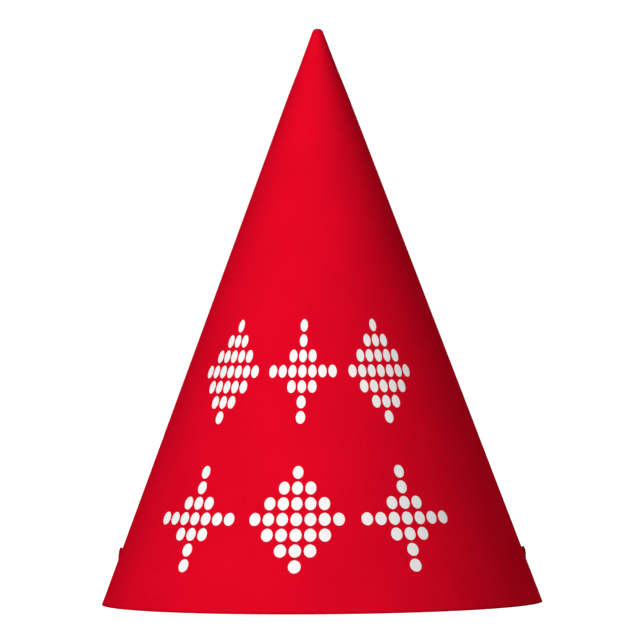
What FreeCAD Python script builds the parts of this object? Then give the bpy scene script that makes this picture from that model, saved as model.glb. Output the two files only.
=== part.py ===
"""New-year party hat: a printed card cone with an elastic chin cord.

Millimetres, +Z up.  The hat stands on its rim in the plane z = 0, the cone's
axis is the Z axis, the printed front faces -Y and the glued seam is at the back
(+Y).  The wearer's ears are on the X axis, where the cord's two holes are.

The card is one blank rolled a little more than a full turn.  Seen from above it
is a two-centre spiral: the inner half turn (through -X) is centred on the axis,
the outer half turn (through +X) is centred half a pitch further back, and past
the seam the overlap runs parallel to the layer below it, one pitch further out.
A pitch is one card and one tape thickness, measured level.
"""
import FreeCAD
import Part
import math
import os

import Sketcher

doc = FreeCAD.newDocument("party_hat")
V = FreeCAD.Vector
UP, AHEAD = V(0, 0, 1), V(0, 1, 0)

# ------------------------------------------------------------------ sizes
SIZES = [
    # the cone
    ("rim_radius", 63.5, "outside radius at the rim: a 5 inch base"),
    ("hat_height", 165.9, "rim to blunt tip: about 6.5 inches"),
    ("slant_angle", 20.55, "degrees between the card and the axis"),
    ("tip_round", 1.3, "outside radius of the rolled-in tip"),
    ("card_thickness", 0.4, "printed card, about 320 g per square metre"),
    # the seam
    ("overlap_angle", 15.0, "degrees of card that lie over the first edge"),
    ("tape_thickness", 0.1, "double-sided tape between the two layers"),
    ("tape_width", 3.0, "eighth-inch tape"),
    ("tape_low", 4.0, "height of the tape's lower end"),
    ("tape_high", 100.0, "height of the tape's upper end"),
    # the punched holes
    ("hole_radius", 1.0, "punched hole for the cord"),
    ("hole_height", 15.0, "hole's centre above the rim plane"),
    ("punch_travel", 4.0, "length of the cut, half of it outside the card"),
    # the elastic cord and its knots
    ("cord_radius", 0.3, "round elastic, 0.6 mm thick"),
    ("neck_depth", 1.2, "the knot's neck ends this far in from the card's face"),
    ("knot_loop_radius", 0.95, "centre line of the knot's loop"),
    ("knot_seat", 0.32, "the loop's centre line over the card: it rests on the hole's edge"),
    ("knot_heart_radius", 0.75, "the strands that cross in the knot's middle"),
    ("tail_length", 2.7, "cut tail, measured from the knot's middle"),
    ("tail_rise", 0.4, "height of the tail's root over the card"),
    ("tail_end_radius", 0.13, "frayed end of the tail, which lies on the card"),
]

sheet = doc.addObject("Spreadsheet::Sheet", "sizes")
for row, (alias, value, meaning) in enumerate(SIZES, start=1):
    sheet.set("A%d" % row, alias)
    sheet.set("B%d" % row, str(value))
    sheet.set("C%d" % row, meaning)
    sheet.setAlias("B%d" % row, alias)
doc.recompute()


def size(alias):
    """A driving dimension, read back from the sheet."""
    return float(sheet.get(alias))


def bind(obj, **links):
    """Bind properties to expressions; a double underscore stands for a dot."""
    for prop, expression in links.items():
        obj.setExpression(prop.replace("__", "."), expression)


# Expressions on the sheet that several pieces share.
SLANT = "(sizes.slant_angle * 1 deg)"
PITCH = "((sizes.card_thickness + sizes.tape_thickness) / cos%s)" % SLANT
TAPE_GAP = "(sizes.tape_thickness / cos%s)" % SLANT
RADIUS_AT = "(sizes.rim_radius - %s * tan" + SLANT + ")"

slant = math.radians(size("slant_angle"))
pitch = (size("card_thickness") + size("tape_thickness")) / math.cos(slant)


def origin_plane(body, role):
    return next(f for f in body.Origin.OriginFeatures if f.Role == role)


# ------------------------------------------------------------------ card cone
def wall_sketch(body, name, shift, shift_expression):
    """The card's section in the plane x = 0, on the +Y side of the axis.

    From the rim the card leans in, then rolls over the tip to a small opening.
    The whole section is moved out by shift.  A construction line marks the axis
    of the outer half turn, half a pitch behind the cone's own axis.
    """
    sketch = body.newObject("Sketcher::SketchObject", name)
    sketch.AttachmentSupport = [(origin_plane(body, "YZ_Plane"), "")]
    sketch.MapMode = "FlatFace"

    rim, height = size("rim_radius"), size("hat_height")
    card, roll = size("card_thickness"), size("tip_round")
    apex = rim / math.tan(slant)
    opening = (math.sin(slant) * (apex - height + roll) - roll) / math.cos(slant)
    centre = V(shift + opening, height - roll, 0)
    lean = V(math.cos(slant), math.sin(slant), 0)
    rim_outer = V(shift + rim, 0, 0)
    rim_inner = V(shift + rim - card / math.cos(slant), 0, 0)

    sketch.addGeometry([
        Part.LineSegment(rim_outer, centre + lean * roll),
        Part.ArcOfCircle(Part.Circle(centre, UP, roll), slant, math.pi / 2),
        Part.LineSegment(centre + AHEAD * roll, centre + AHEAD * (roll - card)),
        Part.ArcOfCircle(Part.Circle(centre, UP, roll - card), slant, math.pi / 2),
        Part.LineSegment(centre + lean * (roll - card), rim_inner),
        Part.LineSegment(rim_inner, rim_outer),
    ], False)
    sketch.addGeometry([
        Part.LineSegment(V(pitch / 2, 0, 0), V(pitch / 2, height, 0)),
    ], True)
    face_out, roll_out, tip_edge, roll_in, face_in, rim_edge, turn_axis = range(7)
    ground, start, end, middle = -1, 1, 2, 3
    origin_point = (ground, start)

    rule = Sketcher.Constraint
    sketch.addConstraint([
        rule("Tangent", face_out, end, roll_out, start),
        rule("Coincident", roll_out, end, tip_edge, start),
        rule("Coincident", tip_edge, end, roll_in, end),
        rule("Tangent", roll_in, start, face_in, start),
        rule("Coincident", face_in, end, rim_edge, start),
        rule("Coincident", rim_edge, end, face_out, start),
        rule("Coincident", roll_out, middle, roll_in, middle),
        rule("Vertical", roll_out, middle, roll_out, end),
        rule("Vertical", tip_edge),
        rule("Parallel", face_out, face_in),
        rule("PointOnObject", rim_edge, start, ground),
        rule("PointOnObject", rim_edge, end, ground),
        rule("Vertical", turn_axis),
        rule("PointOnObject", turn_axis, start, ground),
    ])
    driven = [
        (("DistanceX", *origin_point, rim_edge, end, shift + rim),
         "sizes.rim_radius + " + shift_expression),
        (("DistanceY", *origin_point, roll_out, end, height), "sizes.hat_height"),
        (("Angle", face_out, math.pi / 2 + slant), "90 deg + " + SLANT),
        (("Radius", roll_out, roll), "sizes.tip_round"),
        (("DistanceY", tip_edge, end, tip_edge, start, card), "sizes.card_thickness"),
        (("DistanceX", *origin_point, turn_axis, start, pitch / 2), PITCH + " / 2"),
        (("DistanceY", turn_axis, start, turn_axis, end, height), "sizes.hat_height"),
    ]
    for constraint, expression in driven:
        index = sketch.addConstraint(rule(*constraint))
        sketch.setExpression("Constraints[%d]" % index, expression)
    return sketch


def turn(body, name, sketch, axis, angle, clockwise):
    """Sweep a wall section round one of its sketch's vertical axes."""
    before = body.Shape.Volume if body.Tip else 0.0
    feature = body.newObject("PartDesign::Revolution", name)
    feature.Profile = sketch
    feature.ReferenceAxis = (sketch, [axis])
    feature.Reversed = clockwise
    bind(feature, Angle=angle)
    doc.recompute()
    assert body.Shape.Volume > before, name + " added nothing"
    return feature


def punch(body):
    """Two round holes, cut square to the card at each ear."""
    before = body.Shape.Volume
    hole = body.newObject("PartDesign::SubtractiveCylinder", "ear_hole")
    depth = "(sizes.punch_travel / 2)"
    radius = RADIUS_AT % "sizes.hole_height"
    hole.Placement.Rotation = FreeCAD.Rotation(AHEAD, 90)
    bind(hole,
         Radius="sizes.hole_radius",
         Height="sizes.punch_travel",
         Placement__Base__x="%s - %s * cos%s" % (radius, depth, SLANT),
         Placement__Base__z="sizes.hole_height - %s * sin%s" % (depth, SLANT),
         Placement__Rotation__Angle="90 deg - " + SLANT)
    doc.recompute()
    one = before - body.Shape.Volume
    pair = body.newObject("PartDesign::Mirrored", "both_ear_holes")
    pair.Originals = [hole]
    pair.MirrorPlane = (origin_plane(body, "YZ_Plane"), [""])
    body.Tip = pair
    doc.recompute()
    both = before - body.Shape.Volume
    expected = math.pi * size("hole_radius") ** 2 * size("card_thickness")
    print("hole volumes %.3f %.3f of %.3f each" % (one, both, expected))
    assert one > 0.9 * expected and both > 1.9 * one, "a hole is missing"


def make_cone_card():
    body = doc.addObject("PartDesign::Body", "cone_card")
    inner_edge = wall_sketch(body, "inner_edge_section", 0.0, "0")
    outer_edge = wall_sketch(body, "outer_edge_section", pitch, PITCH)
    doc.recompute()
    turn(body, "inner_half_turn", inner_edge, "V_Axis", "180 deg", False)
    turn(body, "outer_half_turn", outer_edge, "Axis0", "180 deg", True)
    turn(body, "overlap", outer_edge, "V_Axis", "sizes.overlap_angle * 1 deg", False)
    punch(body)
    return body


# ------------------------------------------------------------------ seam tape
def make_seam_tape():
    """Double-sided tape: the gap between the two layers, cut to a straight strip."""
    length = "sizes.tape_high - sizes.tape_low"

    def cone(name, growth):
        piece = doc.addObject("Part::Cone", name)
        bind(piece,
             Radius1=RADIUS_AT % "sizes.tape_low" + growth,
             Radius2=RADIUS_AT % "sizes.tape_high" + growth,
             Height=length,
             Placement__Base__z="sizes.tape_low")
        return piece

    gap = doc.addObject("Part::Cut", "gap_between_layers")
    gap.Base = cone("overlap_inside", " + " + TAPE_GAP)
    gap.Tool = cone("first_layer_outside", "")

    strip = doc.addObject("Part::Box", "straight_strip")
    middle = "(90 + sizes.overlap_angle / 2) * 1 deg"
    bind(strip,
         Length="sizes.rim_radius",
         Width="sizes.tape_width",
         Height=length,
         Placement__Base__x="sizes.tape_width / 2 * sin(%s)" % middle,
         Placement__Base__y="-sizes.tape_width / 2 * cos(%s)" % middle,
         Placement__Base__z="sizes.tape_low",
         Placement__Rotation__Angle=middle)

    tape = doc.addObject("Part::Common", "seam_tape")
    tape.Base, tape.Tool = gap, strip
    return tape


# ------------------------------------------------------------------ knots
def ear_point(side):
    """Where a hole's axis meets the outside of the card, and the way out.

    The card's outer half turn, on the +X side, stands half a pitch further out.
    """
    radius = size("rim_radius") - size("hole_height") * math.tan(slant)
    spiral = pitch / 2 if side > 0 else 0.0
    outward = V(side * math.cos(slant), 0, math.sin(slant))
    return V(side * (radius + spiral), 0, size("hole_height")), outward


def make_knot(name, side):
    """An overhand knot drawn up to the hole: neck, loop, heart and cut tail.

    It is drawn with the hole's axis as its own Z, the card's outside at 0 and the
    way down the card along its own X, or along -X on the -X side of the hat.
    """
    neck = doc.addObject("Part::Cylinder", name + "_neck")
    bind(neck,
         Radius="sizes.cord_radius",
         Height="sizes.neck_depth + sizes.knot_seat",
         Placement__Base__z="-sizes.neck_depth")

    loop = doc.addObject("Part::Torus", name + "_loop")
    bind(loop,
         Radius1="sizes.knot_loop_radius",
         Radius2="sizes.cord_radius",
         Placement__Base__z="sizes.knot_seat")

    heart = doc.addObject("Part::Sphere", name + "_heart")
    bind(heart, Radius="sizes.knot_heart_radius")

    tail = doc.addObject("Part::Cone", name + "_tail")
    tail.Placement.Rotation = FreeCAD.Rotation(AHEAD * side, 90)
    drop = "asin((sizes.tail_rise - sizes.tail_end_radius) / sizes.tail_length)"
    bind(tail,
         Radius1="sizes.cord_radius",
         Radius2="sizes.tail_end_radius",
         Height="sizes.tail_length",
         Placement__Base__z="sizes.tail_rise",
         Placement__Rotation__Angle="90 deg + " + drop)

    knot = doc.addObject("Part::MultiFuse", name)
    knot.Shapes = [neck, loop, heart, tail]
    place, outward = ear_point(side)
    knot.Placement = FreeCAD.Placement(place, FreeCAD.Rotation(UP, outward))
    return knot


# ------------------------------------------------------------------ elastic cord
FLOOR = size("cord_radius")

# The slack lies inside the hat, from the ear at +X to the ear at -X: down to the
# surface, round the back, across the middle, round the front and up again.
SLACK = [
    (47.2, 3.0, 7.0),
    (45.0, 11.0, FLOOR),
    (38.0, 25.0, FLOOR),
    (20.5, 40.0, FLOOR),
    (-6.5, 44.5, FLOOR),
    (-29.5, 34.0, FLOOR),
    (-33.5, 13.0, FLOOR),
    (-15.0, -1.0, FLOOR),
    (10.0, -4.0, FLOOR),
    (30.0, -14.0, FLOOR),
    (33.0, -32.0, FLOOR),
    (15.0, -44.5, FLOOR),
    (-11.0, -43.0, FLOOR),
    (-32.0, -32.0, FLOOR),
    (-43.5, -17.0, FLOOR),
    (-48.6, -5.2, 5.6),
]
LEAD_OUT = 5.0          # straight out of the hole before the cord droops
ARC_SHARE = 0.45        # how much of the shorter run an arc may take up


def cord_route():
    """Corner points of the cord, from knot to knot."""
    ends = []
    for side in (1, -1):
        place, outward = ear_point(side)
        neck_end = place - outward * size("neck_depth")
        ends.append((neck_end, neck_end - outward * LEAD_OUT))
    (first, second), (last, last_but_one) = ends
    return [first, second] + [V(*p) for p in SLACK] + [last_but_one, last]


def rounded_path(points):
    """Straight runs joined by tangent arcs, as large as the runs allow."""
    edges, radii = [], []
    here = points[0]
    for before, corner, after in zip(points, points[1:], points[2:]):
        run_in, run_out = corner - before, after - corner
        half_turn = run_in.getAngle(run_out) / 2
        reach = ARC_SHARE * min(run_in.Length, run_out.Length)
        radii.append(reach / math.tan(half_turn))
        into = V(run_in).normalize()
        onward = V(run_out).normalize()
        start, end = corner - into * reach, corner + onward * reach
        bisector = (onward - into).normalize()
        centre = corner + bisector * (radii[-1] / math.cos(half_turn))
        middle = centre - bisector * radii[-1]
        edges.append(Part.LineSegment(here, start).toShape())
        edges.append(Part.Arc(start, middle, end).toShape())
        here = end
    edges.append(Part.LineSegment(here, points[-1]).toShape())
    print("cord arc radii " + " ".join("%.1f" % r for r in radii))
    return Part.Wire(edges)


def make_elastic_cord():
    points = cord_route()
    path = rounded_path(points)
    section = Part.Circle(points[0], points[1] - points[0], size("cord_radius"))
    tube = path.makePipeShell([Part.Wire(section.toShape())], True, False)
    expected = math.pi * size("cord_radius") ** 2 * path.Length
    print("cord length %.1f, volume %.2f of %.2f" % (path.Length, tube.Volume, expected))
    assert 0.99 < tube.Volume / expected < 1.01, "the cord's sweep is wrong"
    cord = doc.addObject("Part::Feature", "elastic_cord")
    cord.Shape = tube
    cord.Placement = FreeCAD.Placement()
    return cord


# ------------------------------------------------------------------ the hat
pieces = [
    make_cone_card(),
    make_seam_tape(),
    make_elastic_cord(),
    make_knot("knot_right", 1),
    make_knot("knot_left", -1),
]
doc.recompute()

for obj in doc.Objects:
    assert not {"Invalid", "Error"} & set(obj.State), "%s: %s" % (obj.Name, obj.State)

os.makedirs("parts", exist_ok=True)
for piece in pieces:
    shape = piece.Shape
    assert not shape.isNull() and shape.isValid() and len(shape.Solids) == 1, piece.Label
    shape.exportStep("parts/%s.step" % piece.Label)
    box = shape.BoundBox
    print("%-13s %9.2f mm3  x %.2f..%.2f  y %.2f..%.2f  z %.2f..%.2f" % (
        piece.Label, shape.Volume,
        box.XMin, box.XMax, box.YMin, box.YMax, box.ZMin, box.ZMax))
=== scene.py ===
"""Looks of the party hat: printed card cone, seam tape, elastic cord and knots.

Everything is in metres in the CAD model's frame: +Z up, the hat stands on its rim
at z = 0, the printed front faces -Y and the seam is at the back.
"""
import bpy
import math
from mathutils import Matrix, Vector


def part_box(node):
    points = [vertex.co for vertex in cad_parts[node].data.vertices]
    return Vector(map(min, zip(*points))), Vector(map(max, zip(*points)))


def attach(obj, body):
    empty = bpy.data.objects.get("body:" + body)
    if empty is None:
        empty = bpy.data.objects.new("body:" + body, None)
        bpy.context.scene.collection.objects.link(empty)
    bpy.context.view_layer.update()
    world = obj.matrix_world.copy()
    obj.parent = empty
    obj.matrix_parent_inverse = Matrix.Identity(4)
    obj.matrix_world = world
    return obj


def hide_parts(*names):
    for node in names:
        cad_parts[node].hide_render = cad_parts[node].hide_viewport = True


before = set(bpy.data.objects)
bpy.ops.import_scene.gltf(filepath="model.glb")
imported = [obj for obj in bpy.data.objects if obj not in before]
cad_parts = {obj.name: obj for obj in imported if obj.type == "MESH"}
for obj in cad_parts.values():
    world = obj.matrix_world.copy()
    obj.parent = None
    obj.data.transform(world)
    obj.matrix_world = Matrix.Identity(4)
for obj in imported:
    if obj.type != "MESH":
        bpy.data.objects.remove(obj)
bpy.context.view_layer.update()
MM = 0.001

# ---------------------------------------------------------------- hat dimensions
card_low, card_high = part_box("cone_card")
RIM = -card_low[0]                       # outside radius of the rim
HEIGHT = card_high[2]                    # rim to blunt tip
SLANT = math.radians(20.55)              # between the card and the axis
CARD = 0.4 * MM                          # card thickness
TAPE = 0.1 * MM                          # gap that the seam's tape fills
PITCH = (CARD + TAPE) / math.cos(SLANT)  # one layer further out, measured level
OVERLAP = 15.0                           # degrees
ROLL = 1.3 * MM                          # outside radius of the rolled-in tip
HOLE_RADIUS = 1.0 * MM
HOLE_HEIGHT = 15.0 * MM                  # of a hole's centre above the rim
CORD_RADIUS = 0.3 * MM
NECK_DEPTH = 1.2 * MM                    # a knot's neck ends this far in from the card's face

LEAN = Vector((math.cos(SLANT), math.sin(SLANT)))        # card's normal: (out, up)
APEX = RIM / math.tan(SLANT)
TIP_OPENING = (math.sin(SLANT) * (APEX - HEIGHT + ROLL) - ROLL) / math.cos(SLANT)
ROLL_CENTRE = Vector((TIP_OPENING, HEIGHT - ROLL))
ROLL_START = (ROLL_CENTRE + LEAN * ROLL)[1]              # height where the roll begins
ROLL_END = ROLL_START + ROLL * (math.pi / 2 - SLANT)     # along the roll's arc
PINCH = 0.19 * MM                        # the card is squeezed in this much under the tip
PINCH_START = HEIGHT - 20 * MM           # from this height up,
PINCH_FULL = HEIGHT - 10 * MM            # and by the whole amount from here
FIRST_EDGE, LAST_EDGE = -180.0, 180.0 + OVERLAP          # azimuths of the card's edges
EAR_RADIUS = RIM - HOLE_HEIGHT * math.tan(SLANT)         # of the first half turn's card
RIGHT_EAR = 90.0 - math.degrees(math.asin(PITCH / 2 / EAR_RADIUS))   # azimuth where y = 0
LEFT_EAR = -90.0


# ---------------------------------------------------------------- camera
SENSOR, LENS = 36.0, 235.85                              # mm
CAMERA_PLACE = (0.0, -1.2198, 0.0634)
CAMERA_YAW, CAMERA_PITCH, CAMERA_ROLL = -0.0338, 90.828, -0.455      # degrees


def make_camera():
    """Nearly level product shot from 1.2 m in front, rolled by half a degree."""
    data = bpy.data.cameras.new("camera")
    data.sensor_width = SENSOR
    data.lens = LENS
    camera = bpy.data.objects.new("camera", data)
    bpy.context.scene.collection.objects.link(camera)
    camera.matrix_world = (
        Matrix.Translation(CAMERA_PLACE)
        @ Matrix.Rotation(math.radians(CAMERA_YAW), 4, "Z")
        @ Matrix.Rotation(math.radians(CAMERA_PITCH), 4, "X")
        @ Matrix.Rotation(math.radians(CAMERA_ROLL), 4, "Z")
    )
    bpy.context.scene.camera = camera


make_camera()


# ---------------------------------------------------------------- geometry of the card
def pinch(h):
    """How far in from a straight cone the card lies at a height."""
    rise = min(1.0, max(0.0, (h - PINCH_START) / (PINCH_FULL - PINCH_START)))
    return PINCH * rise * rise * (3 - 2 * rise)


def section(h, inner=False):
    """A point (out, up) of the card's section and its outward normal.

    h is the height up the slanted wall, and past ROLL_START it runs on along the arc
    that rolls over the tip. At the rim the card is cut level.
    """
    if h <= ROLL_START:
        point, normal = Vector((RIM - h * math.tan(SLANT) - pinch(h), h)), LEAN
        if inner and h <= 0.0:
            return point - Vector((CARD / math.cos(SLANT), 0.0)), normal
    else:
        angle = SLANT + (h - ROLL_START) / ROLL
        normal = Vector((math.cos(angle), math.sin(angle)))
        point = ROLL_CENTRE + normal * ROLL - Vector((PINCH, 0.0))
    if inner:
        point = point - normal * CARD
    return point, normal


def around(azimuth):
    """Direction away from the axis. Azimuth 0 is the front, 90 is +X."""
    a = math.radians(azimuth)
    return Vector((math.sin(a), -math.cos(a), 0.0))


def on_card(azimuth, h, inner=False):
    """A point of the rolled card and its outward normal.

    The roll is a two-centre spiral: the half turn on the -X side is centred on the
    axis, the half turn on the +X side half a pitch further back, and the overlap lies
    one pitch outside the first edge.
    """
    (out, up), (normal_out, normal_up) = section(h, inner)
    centre_y, growth = 0.0, 0.0
    if azimuth > 180.0:
        growth = PITCH
    elif azimuth > 0.0:
        centre_y = growth = PITCH / 2
    away = around(azimuth)
    point = Vector((0.0, centre_y, up)) + away * (out + growth)
    return point, away * normal_out + Vector((0.0, 0.0, normal_up))


class Surface:
    """A mesh that grows face by face, with a material and exact normals per face."""

    def __init__(self):
        self.points, self.index = [], {}
        self.faces, self.materials, self.normals = [], [], []

    def vertex(self, key, point):
        if key not in self.index:
            self.index[key] = len(self.points)
            self.points.append(point)
        return self.index[key]

    def face(self, corners, normals, material):
        self.faces.append(corners)
        self.normals.extend(normals)
        self.materials.append(material)

    def build(self, name, materials):
        mesh = bpy.data.meshes.new(name)
        mesh.from_pydata(self.points, [], self.faces)
        for material in materials:
            mesh.materials.append(material)
        mesh.polygons.foreach_set("material_index", self.materials)
        mesh.polygons.foreach_set("use_smooth", [True] * len(self.faces))
        mesh.normals_split_custom_set(self.normals)
        mesh.update()
        piece = bpy.data.objects.new(name, mesh)
        bpy.context.scene.collection.objects.link(piece)
        return piece


# ---------------------------------------------------------------- the print
PRINTED, DOT, INSIDE, EDGE = range(4)

COLUMN = 4.2                 # degrees of azimuth from dot to dot
ROW = 4.3 * MM               # height from dot to dot
FIRST_COLUMN = -55.63        # azimuth of the print's left border
DOT_SHARE = 0.82             # of a column and of a row that a dot fills
LOWER_PRINT, UPPER_PRINT = 10.7 * MM, 51.7 * MM          # heights of the bands' lower borders

SPARKLE = """
...#...
...#...
..###..
#######
..###..
...#...
...#...
"""
DIAMOND = """
...#...
..###..
.#####.
#######
.#####.
..###..
...#...
"""
UPPER_ORNAMENTS = [DIAMOND, SPARKLE, DIAMOND]
LOWER_ORNAMENTS = [SPARKLE, DIAMOND, SPARKLE]


def ornament_grid(ornaments):
    """Rows of a band of ornaments, bottom row first, with one empty column between."""
    pictures = [ornament.split() for ornament in ornaments]
    rows = [".".join(parts) for parts in zip(*pictures)]
    return rows[::-1]


BANDS = {
    LOWER_PRINT: ornament_grid(LOWER_ORNAMENTS),
    UPPER_PRINT: ornament_grid(UPPER_ORNAMENTS),
}
PRINT_COLUMNS = len(BANDS[LOWER_PRINT][0])
PRINT_ROWS = len(BANDS[LOWER_PRINT])
FINE = 4                     # mesh steps along each side of a print cell
PLAIN_ROWS = 3               # rows of cells under the print, and between its bands
UPPER_ROWS = 28              # rows of cells above the print
ROLL_ROWS = 8                # rows of cells over the rolled tip
SAME_HEIGHT = 0.001 * MM     # heights closer than this are the same


def steps(start, end, count):
    return [start + (end - start) * i / count for i in range(count + 1)]


def card_columns():
    """Azimuths of the cell borders: both edges, the ear holes and the print's columns."""
    ear = COLUMN                             # an ear's cell is two columns wide
    print_end = FIRST_COLUMN + COLUMN * PRINT_COLUMNS
    stops = [FIRST_EDGE, LEFT_EAR - ear, LEFT_EAR, LEFT_EAR + ear, FIRST_COLUMN,
             print_end, RIGHT_EAR - ear, RIGHT_EAR, RIGHT_EAR + ear, 180.0, LAST_EDGE]
    borders = [stops[0]]
    for start, end in zip(stops, stops[1:]):
        borders += steps(start, end, max(1, round((end - start) / COLUMN)))[1:]
    return borders


def card_rows():
    """Heights of the cell borders, and whether each row needs fine cells."""
    print_height = ROW * PRINT_ROWS
    spans = [
        (0.0, LOWER_PRINT, PLAIN_ROWS, False),
        (LOWER_PRINT, LOWER_PRINT + print_height, PRINT_ROWS, True),
        (LOWER_PRINT + print_height, UPPER_PRINT, PLAIN_ROWS, False),
        (UPPER_PRINT, UPPER_PRINT + print_height, PRINT_ROWS, True),
        (UPPER_PRINT + print_height, ROLL_START, UPPER_ROWS, False),
        (ROLL_START, ROLL_END, ROLL_ROWS, False),
    ]
    rows = []
    for start, end, count, fine in spans:
        borders = steps(start, end, count)
        rows += [(low, high, fine) for low, high in zip(borders, borders[1:])]
    return rows


def is_dot(azimuth, h):
    """Whether the print has a dot in the cell round this point."""
    column = math.floor((azimuth - FIRST_COLUMN) / COLUMN)
    for border, rows in BANDS.items():
        row = math.floor((h - border) / ROW)
        if 0 <= row < PRINT_ROWS and 0 <= column < PRINT_COLUMNS:
            return rows[row][column] == "#"
    return False


# ---------------------------------------------------------------- meshing the card
class CardMesh(Surface):
    def corner(self, azimuth, h, inner):
        """Vertex and outward-looking normal of one skin at a point of the card."""
        point, normal = on_card(azimuth, h, inner)
        key = (inner, round(azimuth, 4), round(h / MM, 5))
        return self.vertex(key, point), (-normal if inner else normal)

    def skin(self, outline, inner, material):
        """One face of a skin; outline runs anticlockwise seen from outside."""
        corners = [self.corner(a, h, inner) for a, h in outline]
        if inner:
            corners.reverse()
        self.face([c[0] for c in corners], [c[1] for c in corners], material)

    def wall(self, line, direction_of):
        """Cut faces of the card's thickness along a line of its outer skin."""
        for start, end in zip(line, line[1:]):
            corners = [(start, False), (start, True), (end, True), (end, False)]
            indices = [self.corner(*p, inner)[0] for p, inner in corners]
            normals = [direction_of(*p) for p, inner in corners]
            self.face(indices, normals, EDGE)

    def plain_cell(self, left, right, low, high, across, up, inner, material):
        columns, rows = steps(left, right, across), steps(low, high, up)
        for a0, a1 in zip(columns, columns[1:]):
            for h0, h1 in zip(rows, rows[1:]):
                self.skin([(a0, h0), (a1, h0), (a1, h1), (a0, h1)], inner, material)

    def ring(self, left, right, low, high, across, up, oval, inner, material):
        """The part of a cell outside an oval; returns the oval's points."""
        columns, rows = steps(left, right, across), steps(low, high, up)
        border = [(a, low) for a in columns[:-1]] + [(right, h) for h in rows[:-1]]
        border += [(a, high) for a in columns[:0:-1]] + [(left, h) for h in rows[:0:-1]]
        count = len(border)
        hoop = oval_points(oval, 2 * count)
        for i, here in enumerate(border):
            after = border[(i + 1) % count]
            first, middle, last = (hoop[(2 * i + k) % (2 * count)] for k in range(3))
            self.skin([here, after, middle], inner, material)
            self.skin([here, middle, first], inner, material)
            self.skin([after, last, middle], inner, material)
        return hoop

    def dot_cell(self, left, right, low, high):
        centre = ((left + right) / 2, (low + high) / 2)
        reach = (DOT_SHARE * (right - left) / 2, DOT_SHARE * (high - low) / 2)
        hoop = self.ring(left, right, low, high, FINE, FINE, (centre, reach), False, PRINTED)
        inner_hoop = oval_points((centre, (reach[0] / 2, reach[1] / 2)), len(hoop))
        for i in range(len(hoop)):
            after = (i + 1) % len(hoop)
            self.skin([hoop[i], hoop[after], inner_hoop[after], inner_hoop[i]], False, DOT)
            self.skin([inner_hoop[i], inner_hoop[after], centre], False, DOT)

    def ear_cell(self, left, right, low, high):
        """A cell with a punched hole, cut square to the card."""
        middle = (left + right) / 2
        radius_here = section(HOLE_HEIGHT)[0][0]
        reach = (math.degrees(HOLE_RADIUS / radius_here), HOLE_RADIUS * math.cos(SLANT))
        oval = ((middle, HOLE_HEIGHT), reach)
        for inner, material in ((False, PRINTED), (True, INSIDE)):
            hoop = self.ring(left, right, low, high, 2 * FINE, 2 * FINE, oval, inner, material)
        axis_point = on_card(middle, HOLE_HEIGHT)[0]

        def towards_axis(azimuth, h):
            return (axis_point - on_card(azimuth, h)[0]).normalized()

        self.wall(hoop[:1] + hoop[::-1], towards_axis)


LOWER_LEFT = 225.0           # degrees anticlockwise from the right


def oval_points(oval, count):
    """Points round an oval, from the lower left, anticlockwise."""
    (a, h), (reach_a, reach_h) = oval
    points = []
    for i in range(count):
        turn = math.radians(LOWER_LEFT + 360.0 * i / count)
        points.append((a + reach_a * math.cos(turn), h + reach_h * math.sin(turn)))
    return points


def make_card(materials):
    mesh = CardMesh()
    columns, rows = card_columns(), card_rows()
    ear_low = LOWER_PRINT
    ear_high = LOWER_PRINT + 2 * ROW
    for left, right in zip(columns, columns[1:]):
        by_an_ear = any(abs((left + right) / 2 - ear) < COLUMN for ear in (LEFT_EAR, RIGHT_EAR))
        for low, high, fine in rows:
            if by_an_ear and ear_low - SAME_HEIGHT < low and high < ear_high + SAME_HEIGHT:
                continue
            up = FINE if fine else 1
            middle = ((left + right) / 2, (low + high) / 2)
            if is_dot(*middle):
                mesh.dot_cell(left, right, low, high)
            else:
                mesh.plain_cell(left, right, low, high, FINE, up, False, PRINTED)
            mesh.plain_cell(left, right, low, high, FINE, up, True, INSIDE)
    for ear in (LEFT_EAR, RIGHT_EAR):
        mesh.ear_cell(ear - COLUMN, ear + COLUMN, ear_low, ear_high)

    fine_columns = [columns[0]]
    for left, right in zip(columns, columns[1:]):
        fine_columns += steps(left, right, FINE)[1:]
    fine_rows = [rows[0][0]]
    for low, high, fine in rows:
        fine_rows += steps(low, high, FINE if fine else 1)[1:]
    rim = [(a, 0.0) for a in fine_columns]
    top = [(a, ROLL_END) for a in reversed(fine_columns)]
    first = [(FIRST_EDGE, h) for h in reversed(fine_rows)]
    last = [(LAST_EDGE, h) for h in fine_rows]
    mesh.wall(rim, lambda a, h: Vector((0.0, 0.0, -1.0)))
    mesh.wall(top, lambda a, h: -around(a))
    mesh.wall(first, lambda a, h: -around(a + 90.0))
    mesh.wall(last, lambda a, h: around(a + 90.0))
    return mesh.build("printed_card", materials)


# ---------------------------------------------------------------- the elastic cord
def ear_frame(side):
    """Where a hole's axis meets the card's outside, and three directions there.

    They are down the card, sideways along it and outward. side is 1 at +X, -1 at -X.
    """
    spiral = PITCH / 2 if side > 0 else 0.0
    origin = Vector((side * (EAR_RADIUS + spiral), 0.0, HOLE_HEIGHT))
    down = Vector((side * math.sin(SLANT), 0.0, -math.cos(SLANT)))
    outward = Vector((side * math.cos(SLANT), 0.0, math.sin(SLANT)))
    return origin, down, outward.cross(down), outward


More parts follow.
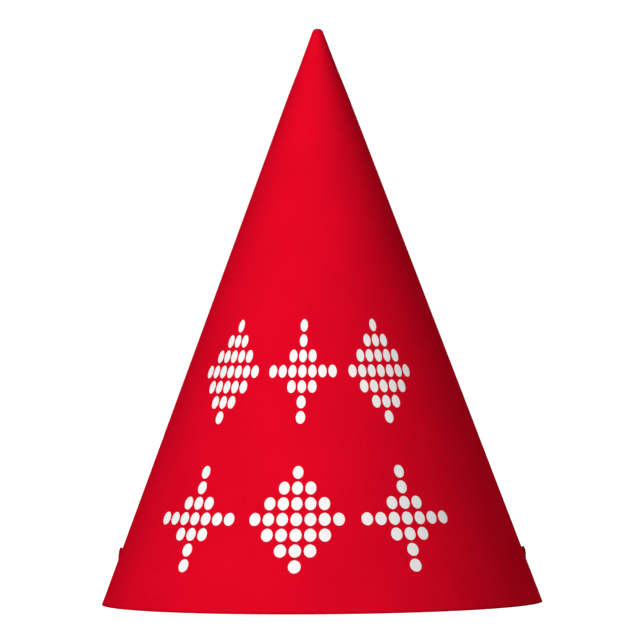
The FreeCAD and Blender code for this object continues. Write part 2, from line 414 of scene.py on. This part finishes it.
# The slack lies inside the hat, from the ear at +X to the ear at -X: down to the
# surface, round the back, across the middle, round the front and up again. The points
# are in mm.
ON_FLOOR = CORD_RADIUS / MM
SLACK = [
    (47.2, 3.0, 7.0),
    (45.0, 11.0, ON_FLOOR),
    (38.0, 25.0, ON_FLOOR),
    (20.5, 40.0, ON_FLOOR),
    (-6.5, 44.5, ON_FLOOR),
    (-29.5, 34.0, ON_FLOOR),
    (-33.5, 13.0, ON_FLOOR),
    (-15.0, -1.0, ON_FLOOR),
    (10.0, -4.0, ON_FLOOR),
    (30.0, -14.0, ON_FLOOR),
    (33.0, -32.0, ON_FLOOR),
    (15.0, -44.5, ON_FLOOR),
    (-11.0, -43.0, ON_FLOOR),
    (-32.0, -32.0, ON_FLOOR),
    (-43.5, -17.0, ON_FLOOR),
    (-48.6, -5.2, 5.6),
]
LEAD_OUT = 5.0 * MM          # straight out of the hole before the cord droops


def cord_route():
    """Control points of the cord, from the right knot's neck to the left knot's."""
    ends = []
    for side in (1, -1):
        origin, down, sideways, outward = ear_frame(side)
        neck_end = origin - outward * NECK_DEPTH
        ends.append((neck_end, neck_end - outward * LEAD_OUT))
    (first, second), (last, last_but_one) = ends
    slack = [Vector(point) * MM for point in SLACK]
    return [first, second] + slack + [last_but_one, last]


def along_nurbs(controls, order, resolution):
    """Points along the smooth curve that has these control points."""
    curve = bpy.data.curves.new("route", "CURVE")
    curve.dimensions = "3D"
    curve.resolution_u = resolution
    spline = curve.splines.new("NURBS")
    spline.points.add(len(controls) - 1)
    for control, point in zip(spline.points, controls):
        control.co = (*point, 1.0)
    spline.order_u = order
    spline.use_endpoint_u = True
    holder = bpy.data.objects.new("route", curve)
    mesh = bpy.data.meshes.new_from_object(holder)
    line = [vertex.co.copy() for vertex in mesh.vertices]
    bpy.data.meshes.remove(mesh)
    bpy.data.objects.remove(holder)
    bpy.data.curves.remove(curve)
    return line


YARNS = 4                    # yarns that turn each way round the elastic
BRAID_PITCH = 2.4 * MM       # length in which a yarn goes once round
BRAID_RELIEF = 0.12          # depth between the yarns, as a share of the radius
SIDES = 24                   # of a tube's section


def braid_height(turn, along):
    """0 between the yarns to 1 on top of one; both coordinates count yarns."""
    families = (turn + along, turn - along)
    return max(abs(math.cos(math.pi * phase)) for phase in families)


def braided_tube(name, line, radii, material):
    """A closed tube along a line, with the braid's relief and coordinates for it."""
    count = len(line)
    points, coordinates = [], []
    across = Vector((0.0, 1.0, 0.0))
    length = 0.0
    for i, centre in enumerate(line):
        before, after = line[max(i - 1, 0)], line[min(i + 1, count - 1)]
        tangent = (after - before).normalized()
        across = (across - tangent * across.dot(tangent)).normalized()
        if i:
            length += (centre - line[i - 1]).length
        along = YARNS * length / BRAID_PITCH
        for k in range(SIDES):
            turn = k / SIDES
            direction = Matrix.Rotation(2 * math.pi * turn, 3, tangent) @ across
            relief = 1 - BRAID_RELIEF * (1 - braid_height(YARNS * turn, along))
            points.append(centre + direction * radii[i] * relief)
            coordinates.append((YARNS * turn, along))
    start_cap, end_cap = len(points), len(points) + 1
    points += [line[0], line[-1]]
    coordinates += [coordinates[0], coordinates[-1]]

    faces, seams = [], []
    for i in range(count - 1):
        for k in range(SIDES):
            here, beside = i * SIDES + k, i * SIDES + (k + 1) % SIDES
            faces.append((here, beside, beside + SIDES, here + SIDES))
            seams.append(k == SIDES - 1)
    last_ring = (count - 1) * SIDES
    for k in range(SIDES):
        beside = (k + 1) % SIDES
        faces.append((start_cap, beside, k))
        faces.append((end_cap, last_ring + k, last_ring + beside))
        seams += [False, False]

    mesh = bpy.data.meshes.new(name)
    mesh.from_pydata(points, [], faces)
    layer = mesh.uv_layers.new(name="braid")
    loops = []
    for face, seam in zip(faces, seams):
        for corner, vertex in enumerate(face):
            turn, along = coordinates[vertex]
            if seam and corner in (1, 2):        # these close the turn round the tube
                turn = YARNS
            loops += [turn, along]
    layer.data.foreach_set("uv", loops)
    mesh.polygons.foreach_set("use_smooth", [True] * len(faces))
    mesh.materials.append(material)
    tube = bpy.data.objects.new(name, mesh)
    bpy.context.scene.collection.objects.link(tube)
    return tube


# An overhand knot is a trefoil with one of its three lobes cut open. It is drawn up
# to the hole: its strands cross over the hole, and its lobes lie on the card. It is
# pulled tight, so the strands press into one another where they cross. The neck leads
# out through the hole, and the tail lies down the card to its cut.
KNOT_SCALE = 0.4 * MM        # the lobes reach three times this far from the middle
KNOT_TURN = range(225, 516, 10)              # degrees along the trefoil that are kept
KNOT_MIDDLE = 0.17 * MM      # height halfway between two crossing strands
KNOT_STEP = 0.29 * MM        # from there up or down to a strand's middle
KNOT_FLAT = 0.7              # a strand is all the way up or down past this share of a wave
NECK = [                     # mm down the card, sideways and outward, from the hole
    (0.0, 0.0, -1.2),
    (0.02, 0.02, -1.0),
    (0.2, 0.15, -0.62),
    (0.36, 0.3, -0.25),
    (0.46, 0.42, 0.15),
]
TAIL = [                     # the same, from the knot's middle
    (0.98, -0.43, 0.33),
    (1.28, -0.35, 0.21),
    (1.58, -0.22, 0.13),
    (1.96, -0.08, 0.08),
    (2.4, 0.0, 0.05),
]
SETTLED = {1: 0.3 * MM, -1: -0.2 * MM}       # how far below its hole's centre a knot hangs
TAIL_END = 0.38              # radius at the cut, as a share of the cord's
TAIL_SHARE = 0.07            # share of the knot's length that tapers


def knot_controls(settled):
    """Control points (down, sideways, outward) from the neck to the cut tail.

    The knot's middle is settled this far below the hole's, and the neck isn't.
    """
    below = Vector((settled, 0.0, 0.0))
    controls = [Vector(point) * MM for point in NECK]
    for degrees in KNOT_TURN:
        t = math.radians(degrees)
        down = KNOT_SCALE * (2 * math.cos(2 * t) - math.cos(t)) + settled
        sideways = KNOT_SCALE * (math.sin(t) + 2 * math.sin(2 * t))
        over = max(-1.0, min(1.0, -math.sin(3 * t) / KNOT_FLAT))
        height = KNOT_MIDDLE + over * KNOT_STEP
        overhang = HOLE_RADIUS - math.hypot(down, sideways)
        if overhang < CORD_RADIUS:
            height = max(height, math.sqrt(CORD_RADIUS ** 2 - max(overhang, 0.0) ** 2))
        controls.append(Vector((down, sideways, height)))
    return controls + [Vector(point) * MM + below for point in TAIL]


def make_knot(name, side, material):
    """A knot against the outside of the card at the hole on one side, 1 or -1."""
    origin, down, sideways, outward = ear_frame(side)
    controls = []
    for u, v, w in knot_controls(SETTLED[side]):
        controls.append(origin + down * u + sideways * v + outward * w)
    line = along_nurbs(controls, order=4, resolution=6)
    radii = []
    for i in range(len(line)):
        from_cut = (len(line) - 1 - i) / (len(line) - 1) / TAIL_SHARE
        radii.append(CORD_RADIUS * (TAIL_END + (1 - TAIL_END) * min(1.0, from_cut)))
    return braided_tube(name, line, radii, material)


# ---------------------------------------------------------------- materials
def socket(node, name, value):
    node.inputs[name].default_value = value


class Shader:
    """A material's node tree, with helpers for the nodes that the hat uses."""

    def __init__(self, name):
        self.material = bpy.data.materials.new(name)
        self.material.use_nodes = True
        self.tree = self.material.node_tree
        self.surface = self.tree.nodes["Principled BSDF"]

    def node(self, kind, **settings):
        node = self.tree.nodes.new(kind)
        for key, value in settings.items():
            setattr(node, key, value)
        return node

    def link(self, output, node, name):
        self.tree.links.new(output, node.inputs[name])

    def place(self, stretch=(1.0, 1.0, 1.0)):
        """Coordinates in the hat's frame, stretched."""
        coordinates = self.node("ShaderNodeTexCoord")
        mapping = self.node("ShaderNodeMapping")
        socket(mapping, "Scale", stretch)
        self.link(coordinates.outputs["Object"], mapping, "Vector")
        return mapping.outputs["Vector"]

    def split(self, vector):
        """The X, Y and Z of a vector, by name."""
        node = self.node("ShaderNodeSeparateXYZ")
        self.link(vector, node, "Vector")
        return node.outputs

    def noise(self, vector, scale, detail=2.0, roughness=0.5):
        """Noise whose scale is in features per metre."""
        node = self.node("ShaderNodeTexNoise")
        socket(node, "Scale", scale)
        socket(node, "Detail", detail)
        socket(node, "Roughness", roughness)
        self.link(vector, node, "Vector")
        return node.outputs["Fac"]

    def remap(self, value, low, high, to_low=0.0, to_high=1.0):
        node = self.node("ShaderNodeMapRange")
        for name, number in (("From Min", low), ("From Max", high),
                             ("To Min", to_low), ("To Max", to_high)):
            socket(node, name, number)
        self.link(value, node, "Value")
        return node.outputs["Result"]

    def maths(self, operation, a, b=0.0):
        node = self.node("ShaderNodeMath", operation=operation)
        for i, term in enumerate((a, b)):
            if isinstance(term, (int, float)):
                node.inputs[i].default_value = term
            else:
                self.tree.links.new(term, node.inputs[i])
        return node.outputs["Value"]

    def weighted(self, *terms):
        """The sum of values, each times its share."""
        parts = [self.maths("MULTIPLY", value, share) for value, share in terms]
        total = parts[0]
        for part in parts[1:]:
            total = self.maths("ADD", total, part)
        return total

    def blend(self, factor, a, b):
        """Mix two colours; each is a colour or the output of another node."""
        node = self.node("ShaderNodeMix", data_type="RGBA")
        self.tree.links.new(factor, node.inputs["Factor"])
        for i, colour in ((6, a), (7, b)):
            if isinstance(colour, tuple):
                node.inputs[i].default_value = (*colour, 1.0)
            else:
                self.tree.links.new(colour, node.inputs[i])
        return node.outputs[2]

    def bump(self, height, distance, strength=1.0, below=None):
        node = self.node("ShaderNodeBump")
        socket(node, "Distance", distance)
        socket(node, "Strength", strength)
        self.link(height, node, "Height")
        if below is not None:
            self.link(below, node, "Normal")
        return node.outputs["Normal"]

    def finish(self, colour, normal=None, roughness=None, **constants):
        self.link(colour, self.surface, "Base Color")
        if normal is not None:
            self.link(normal, self.surface, "Normal")
        if roughness is not None:
            self.link(roughness, self.surface, "Roughness")
        for name, value in constants.items():
            socket(self.surface, name.replace("_", " "), value)
        return self.material


RED_INK, RED_INK_THIN = (0.655, 0.0021, 0.0162), (0.590, 0.0017, 0.0141)
WHITE_INK, WHITE_INK_DULL = (0.82, 0.815, 0.805), (0.78, 0.775, 0.76)
BARE_CARD, BARE_CARD_DULL = (0.84, 0.81, 0.76), (0.68, 0.64, 0.58)
CARD_SPECK = (0.45, 0.38, 0.30)
ADHESIVE, ADHESIVE_DULL = (0.80, 0.74, 0.58), (0.68, 0.60, 0.42)
YARN_RED, YARN_GROOVE_SHADE = (0.40, 0.0030, 0.014), (0.19, 0.0010, 0.005)
YARN_FUZZ = (0.55, 0.02, 0.04)
PAPER, PAPER_DULL = (0.82, 0.82, 0.82), (0.80, 0.80, 0.80)
WHITE_LIGHT = (1.0, 1.0, 1.0, 1.0)

# Painted shade along the rim: the ink is coloured darker at the rim, and this fades out between
# two heights.
PAINTED_RIM_SHADE = 0.66
RIM_SHADE_FULL, RIM_SHADE_END = 0.1 * MM, 0.9 * MM


def printed_face(name, full, thin):
    """Ink on coated card: faint mottle, fine paper tooth, and painted shade that darkens the
    ink along the rim.
    """
    shader = Shader(name)
    place = shader.place()
    clouds = shader.noise(place, 55.0, 3.0)
    speckle = shader.noise(place, 1100.0, 3.0)
    tooth = shader.noise(place, 4200.0, 3.0, 0.6)
    mottle = shader.weighted((clouds, 0.4), (speckle, 0.3), (tooth, 0.3))
    colour = shader.blend(shader.remap(mottle, 0.40, 0.60), full, thin)
    # painted shade: a darker copy of the ink, laid along the rim
    rim_shaded_ink = tuple(PAINTED_RIM_SHADE * channel for channel in full)
    above_rim = shader.remap(shader.split(place)["Z"], RIM_SHADE_FULL, RIM_SHADE_END)
    colour = shader.blend(above_rim, rim_shaded_ink, colour)

    waves = shader.noise(place, 130.0, 2.0)
    wavy = shader.bump(waves, 0.05 * MM, 0.35)
    normal = shader.bump(tooth, 0.03 * MM, 0.5, below=wavy)
    roughness = shader.remap(shader.noise(place, 1500.0, 2.0), 0.3, 0.7, 0.50, 0.62)
    return shader.finish(colour, normal, roughness, Specular_IOR_Level=0.0)


def bare_card(name, grain):
    """Uncoated card: fibres drawn out along one direction, and stray specks."""
    shader = Shader(name)
    fibres = shader.noise(shader.place(grain), 900.0, 4.0, 0.65)
    specks = shader.noise(shader.place(), 1600.0, 1.0)
    colour = shader.blend(shader.remap(fibres, 0.35, 0.70), BARE_CARD, BARE_CARD_DULL)
    colour = shader.blend(shader.remap(specks, 0.72, 0.78, 0.0, 0.5), colour, CARD_SPECK)
    normal = shader.bump(fibres, 0.03 * MM, 0.6)
    return shader.finish(colour, normal, Roughness=0.92, Specular_IOR_Level=0.15)


def tape_film():
    """Double-sided tape: a pale, slightly yellow adhesive with pulled strings."""
    shader = Shader("tape_adhesive")
    strings = shader.noise(shader.place((1.0, 1.0, 0.15)), 1200.0, 3.0)
    colour = shader.blend(shader.remap(strings, 0.35, 0.65), ADHESIVE, ADHESIVE_DULL)
    normal = shader.bump(strings, 0.02 * MM, 0.5)
    return shader.finish(colour, normal, Roughness=0.35)


def braided_yarn():
    """Red yarn braided round an elastic core, with painted shade darkening the grooves between
    the yarns.

    The tube's own coordinates give the turn round the cord and the length along it,
    both counted in yarns, so the two families of yarns are their sum and difference.
    """
    shader = Shader("braided_elastic")
    coordinates = shader.split(shader.node("ShaderNodeUVMap", uv_map="braid").outputs["UV"])
    turn, along = coordinates["X"], coordinates["Y"]

    def yarn(operation):
        phase = shader.maths("MULTIPLY", shader.maths(operation, turn, along), math.pi)
        return shader.maths("ABSOLUTE", shader.maths("COSINE", phase))

    height = shader.maths("MAXIMUM", yarn("ADD"), yarn("SUBTRACT"))
    fuzz = shader.noise(shader.place(), 9000.0, 2.0)
    # painted shade: low places between the yarns get a darker red than the yarns' tops
    colour = shader.blend(shader.remap(height, 0.55, 1.0), YARN_GROOVE_SHADE, YARN_RED)
    colour = shader.blend(shader.remap(fuzz, 0.55, 0.8, 0.0, 0.35), colour, YARN_FUZZ)
    normal = shader.bump(fuzz, 0.01 * MM, 0.4, below=shader.bump(height, 0.07 * MM, 0.8))
    return shader.finish(colour, normal, Roughness=0.85, Specular_IOR_Level=0.2)


# ---------------------------------------------------------------- stage
FLOOR_REACH = 4.0            # from the middle to each side
FLOOR_GLOW = 0.88
AMBIENT, BACKDROP = 0.05, 1.05               # of the surroundings, as light and as seen
SUN_ELEVATION, SUN_SPREAD = 8.0, 50.0        # degrees
SUNS = {"key": (-21.5, 1.66), "rim": (140.0, 0.72), "back": (187.0, 0.70)}   # azimuth, strength


def make_floor():
    """White paper sweep, lit from behind so that it renders almost shadowless.

    Under the hat it isn't lit, so that the inside stays dark behind the punched holes.
    """
    shader = Shader("white_sweep")
    grain = shader.noise(shader.place(), 40.0, 3.0)
    colour = shader.blend(grain, PAPER, PAPER_DULL)
    from_axis = shader.node("ShaderNodeVectorMath", operation="LENGTH")
    shader.link(shader.place(), from_axis, "Vector")
    glow = shader.remap(from_axis.outputs["Value"], RIM - CARD, RIM, 0.0, FLOOR_GLOW)
    shader.link(glow, shader.surface, "Emission Strength")
    material = shader.finish(colour, Roughness=0.9, Specular_IOR_Level=0.0,
                             Emission_Color=WHITE_LIGHT)
    material.cycles.emission_sampling = "NONE"
    signs = [(-1, -1), (1, -1), (1, 1), (-1, 1)]
    corners = [(FLOOR_REACH * x, FLOOR_REACH * y, 0.0) for x, y in signs]
    mesh = bpy.data.meshes.new("floor")
    mesh.from_pydata(corners, [], [(0, 1, 2, 3)])
    mesh.materials.append(material)
    floor = bpy.data.objects.new("floor", mesh)
    bpy.context.scene.collection.objects.link(floor)
    floor.visible_diffuse = False
    floor.visible_glossy = False


def make_sun(name, azimuth, strength):
    """A broad distant light without highlights."""
    data = bpy.data.lights.new(name, "SUN")
    data.angle = math.radians(SUN_SPREAD)
    data.energy = strength * math.pi
    light = bpy.data.objects.new(name, data)
    rise = math.radians(SUN_ELEVATION)
    source = around(azimuth) * math.cos(rise) + Vector((0.0, 0.0, math.sin(rise)))
    light.rotation_euler = source.to_track_quat("Z", "Y").to_euler()
    light.visible_glossy = False
    bpy.context.scene.collection.objects.link(light)


def make_world():
    """White surroundings that the camera sees brighter than they light the hat."""
    world = bpy.data.worlds.new("studio")
    bpy.context.scene.world = world
    world.use_nodes = True
    tree = world.node_tree
    ambient = tree.nodes["Background"]
    backdrop = tree.nodes.new("ShaderNodeBackground")
    for node, strength in ((ambient, AMBIENT), (backdrop, BACKDROP)):
        socket(node, "Color", WHITE_LIGHT)
        socket(node, "Strength", strength)
    ray = tree.nodes.new("ShaderNodeLightPath")
    mix = tree.nodes.new("ShaderNodeMixShader")
    tree.links.new(ray.outputs["Is Camera Ray"], mix.inputs["Fac"])
    tree.links.new(ambient.outputs["Background"], mix.inputs[1])
    tree.links.new(backdrop.outputs["Background"], mix.inputs[2])
    tree.links.new(mix.outputs["Shader"], tree.nodes["World Output"].inputs["Surface"])
    world.cycles_visibility.glossy = False


make_floor()
make_world()
for sun_name, (sun_azimuth, sun_strength) in SUNS.items():
    make_sun(sun_name, sun_azimuth, sun_strength)
bpy.context.scene.view_settings.view_transform = "Standard"

# ---------------------------------------------------------------- the hat
card = make_card([
    printed_face("red_ink", RED_INK, RED_INK_THIN),
    printed_face("white_ink", WHITE_INK, WHITE_INK_DULL),
    bare_card("card_inside", (1.0, 1.0, 0.25)),
    bare_card("card_cut_edge", (0.3, 0.3, 3.0)),
])
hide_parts("cone_card")
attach(card, "root")

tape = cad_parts["seam_tape"]
tape.data.materials.clear()
tape.data.materials.append(tape_film())

yarn = braided_yarn()
right_knot = make_knot("right_overhand_knot", 1, yarn)
left_knot = make_knot("left_overhand_knot", -1, yarn)
cord_line = along_nurbs(cord_route(), order=3, resolution=84)
elastic = braided_tube("braided_elastic", cord_line, [CORD_RADIUS] * len(cord_line), yarn)
elastic_pieces = {"knot_right": right_knot, "knot_left": left_knot, "elastic_cord": elastic}
for node, piece in elastic_pieces.items():
    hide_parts(node)
    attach(piece, "root")
